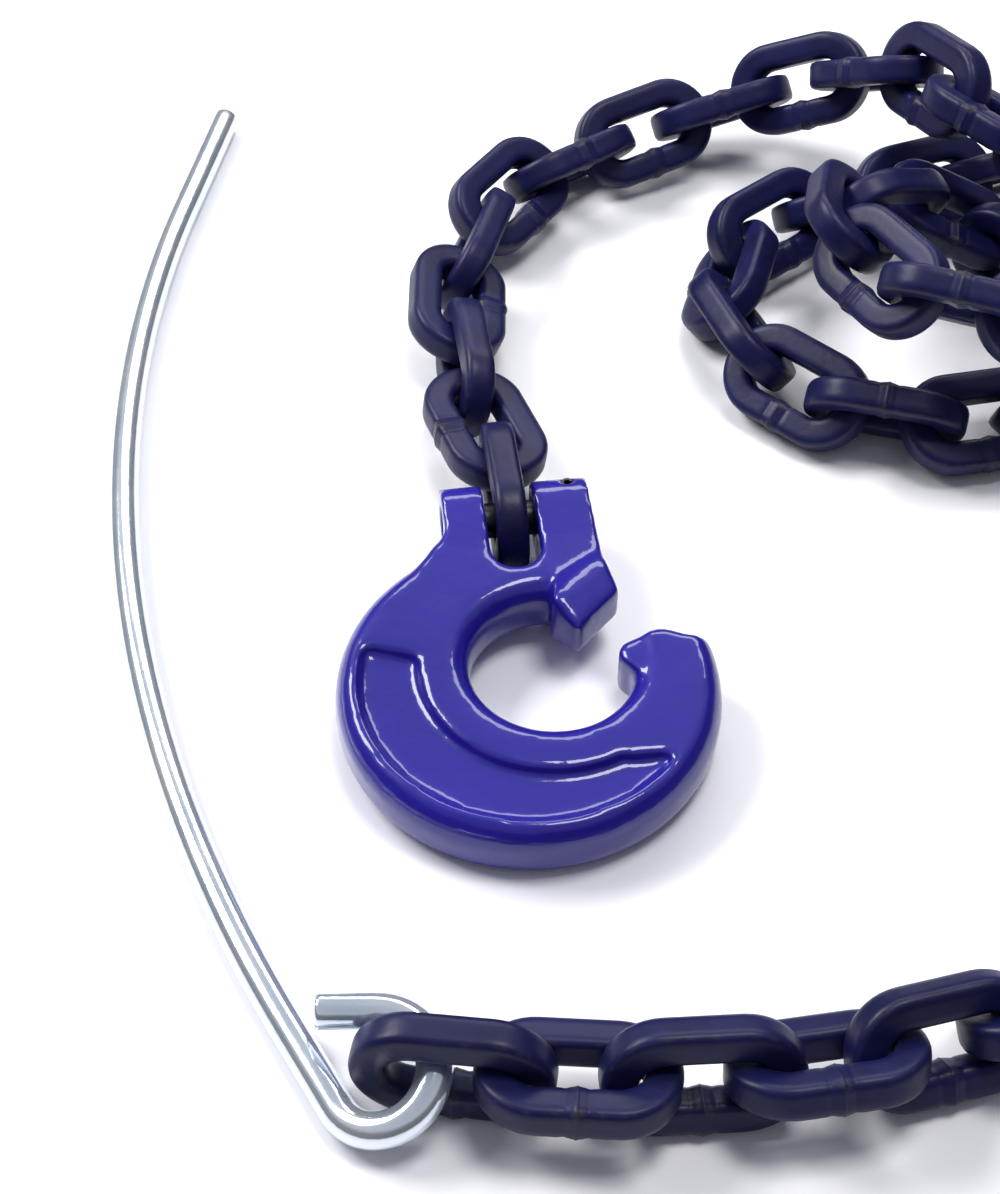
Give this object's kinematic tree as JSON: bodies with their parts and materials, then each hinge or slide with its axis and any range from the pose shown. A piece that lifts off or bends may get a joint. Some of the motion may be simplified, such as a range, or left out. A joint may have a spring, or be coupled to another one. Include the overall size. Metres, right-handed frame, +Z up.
{
  "type": "choker chain",
  "caption": "Square-link choker chain with a clevis choker hook at one end and a curved steel feeding needle at the other, lying loose on a floor.",
  "frame": {"origin": "centre of the set's footprint on the floor", "axes": "+Z up from the floor; the needle lies along the -X side and the hook end points towards -Y; the heap is on the +X side"},
  "size_m": [0.3682, 0.3646, 0.0653],
  "materials": {
    "chain": "satin",
    "hook": "gloss",
    "pin": "black oxide",
    "needle": "bright zinc plate"
  },
  "bodies": {
    "heap": {"link_10": "chain", "link_11": "chain", "link_12": "chain", "link_13": "chain", "link_14": "chain", "link_15": "chain", "link_16": "chain", "link_17": "chain", "link_18": "chain", "link_19": "chain", "link_20": "chain", "link_21": "chain", "link_22": "chain", "link_23": "chain", "link_24": "chain", "link_25": "chain", "link_26": "chain", "link_27": "chain", "link_28": "chain", "link_29": "chain", "link_30": "chain", "link_31": "chain", "link_32": "chain", "link_33": "chain", "link_34": "chain", "link_35": "chain", "link_36": "chain", "link_37": "chain", "link_38": "chain", "link_39": "chain", "link_40": "chain", "link_41": "chain", "link_42": "chain", "link_43": "chain", "link_44": "chain", "link_45": "chain"},
    "hook": {"hook": "hook", "load_pin": "pin", "spring_pin": "pin"},
    "needle": {"needle": "needle"},
    "link_01": {"link_01": "chain"},
    "link_02": {"link_02": "chain"},
    "link_03": {"link_03": "chain"},
    "link_04": {"link_04": "chain"},
    "link_05": {"link_05": "chain"},
    "link_06": {"link_06": "chain"},
    "link_07": {"link_07": "chain"},
    "link_08": {"link_08": "chain"},
    "link_09": {"link_09": "chain"},
    "link_46": {"link_46": "chain"},
    "link_47": {"link_47": "chain"},
    "link_48": {"link_48": "chain"},
    "link_49": {"link_49": "chain"},
    "link_50": {"link_50": "chain"},
    "link_51": {"link_51": "chain"},
    "link_52": {"link_52": "chain"},
    "link_53": {"link_53": "chain"},
    "link_54": {"link_54": "chain"},
    "link_55": {"link_55": "chain"},
    "link_56": {"link_56": "chain"}
  },
  "joints": [
    {"name": "link_09_swing", "type": "hinge", "parent": "heap", "child": "link_09", "pos_m": [-0.00385, 0.17046, 0.02043], "axis": [-0.1557, 0.6686, 0.7271], "range_deg": [-14, 14]},
    {"name": "link_08_swing", "type": "hinge", "parent": "link_09", "child": "link_08", "pos_m": [-0.02839, 0.1652, 0.01317], "axis": [0.0355, 0.7489, -0.6617], "range_deg": [-14, 20]},
    {"name": "link_07_swing", "type": "hinge", "parent": "link_08", "child": "link_07", "pos_m": [-0.05133, 0.15174, 0.0129], "axis": [-0.3654, 0.6085, 0.7044], "range_deg": [-14, 20]},
    {"name": "link_06_swing", "type": "hinge", "parent": "link_07", "child": "link_06", "pos_m": [-0.07243, 0.13652, 0.01259], "axis": [-0.3763, 0.5374, -0.7547], "range_deg": [-1, 24]},
    {"name": "link_05_swing", "type": "hinge", "parent": "link_06", "child": "link_05", "pos_m": [-0.08604, 0.11402, 0.01444], "axis": [-0.6791, 0.4581, 0.5736], "range_deg": [-9, 24]},
    {"name": "link_04_swing", "type": "hinge", "parent": "link_05", "child": "link_04", "pos_m": [-0.09114, 0.0881, 0.01278], "axis": [-0.447, 0.1442, -0.8828], "range_deg": [-3, 24]},
    {"name": "link_03_swing", "type": "hinge", "parent": "link_04", "child": "link_03", "pos_m": [-0.09064, 0.062, 0.01408], "axis": [-0.9336, 0, 0.3584], "range_deg": [-14, 24]},
    {"name": "link_02_swing", "type": "hinge", "parent": "link_03", "child": "link_02", "pos_m": [-0.0858, 0.03634, 0.01378], "axis": [-0.2396, -0.0337, -0.9703], "range_deg": [-9, 20]},
    {"name": "link_01_swing", "type": "hinge", "parent": "link_02", "child": "link_01", "pos_m": [-0.07642, 0.01207, 0.0143], "axis": [-0.9266, -0.3557, 0.1219], "range_deg": [-14, 8]},
    {"name": "hook_swing", "type": "hinge", "parent": "link_01", "child": "hook", "pos_m": [-0.07667, -0.00476, 0.01401], "axis": [-0.9925, -0.1219, 0], "range_deg": [-20, 20]},
    {"name": "link_46_swing", "type": "hinge", "parent": "heap", "child": "link_46", "pos_m": [0.14066, -0.06062, 0.01257], "axis": [-0.6509, 0.2763, -0.7071], "range_deg": [-6, 12]},
    {"name": "link_47_swing", "type": "hinge", "parent": "link_46", "child": "link_47", "pos_m": [0.12685, -0.08271, 0.01193], "axis": [-0.6086, 0.3599, 0.7071], "range_deg": [-6, 12]},
    {"name": "link_48_swing", "type": "hinge", "parent": "link_47", "child": "link_48", "pos_m": [0.11025, -0.10279, 0.01257], "axis": [-0.5557, 0.4373, -0.7071], "range_deg": [-6, 12]},
    {"name": "link_49_swing", "type": "hinge", "parent": "link_48", "child": "link_49", "pos_m": [0.09114, -0.12049, 0.01193], "axis": [-0.493, 0.5069, 0.7071], "range_deg": [-6, 12]},
    {"name": "link_50_swing", "type": "hinge", "parent": "link_49", "child": "link_50", "pos_m": [0.06985, -0.1355, 0.01257], "axis": [-0.4216, 0.5677, -0.7071], "range_deg": [-6, 12]},
    {"name": "link_51_swing", "type": "hinge", "parent": "link_50", "child": "link_51", "pos_m": [0.04677, -0.14758, 0.01193], "axis": [-0.3428, 0.6184, 0.7071], "range_deg": [-6, 12]},
    {"name": "link_52_swing", "type": "hinge", "parent": "link_51", "child": "link_52", "pos_m": [0.0226, -0.1572, 0.01359], "axis": [-0.3277, 0.717, -0.6153], "range_deg": [-6, 12]},
    {"name": "link_53_swing", "type": "hinge", "parent": "link_52", "child": "link_53", "pos_m": [-0.00266, -0.16361, 0.01403], "axis": [-0.1132, 0.5033, 0.8566], "range_deg": [-6, 12]},
    {"name": "link_54_swing", "type": "hinge", "parent": "link_53", "child": "link_54", "pos_m": [-0.02836, -0.16755, 0.01432], "axis": [-0.1429, 0.9023, -0.4067], "range_deg": [-6, 12]},
    {"name": "link_55_swing", "type": "hinge", "parent": "link_54", "child": "link_55", "pos_m": [-0.05437, -0.1687, 0.01457], "axis": [-0.0037, 0.2928, 0.9562], "range_deg": [-6, 12]},
    {"name": "link_56_swing", "type": "hinge", "parent": "link_55", "child": "link_56", "pos_m": [-0.08034, -0.1673, 0.01475], "axis": [0.0515, 0.9835, -0.1736], "range_deg": [-6, 12]},
    {"name": "needle_swing", "type": "hinge", "parent": "link_56", "child": "needle", "pos_m": [-0.10606, -0.16342, 0.0138], "axis": [0.0282, -0.0562, -0.998], "range_deg": [-2, 8]}
  ]
}
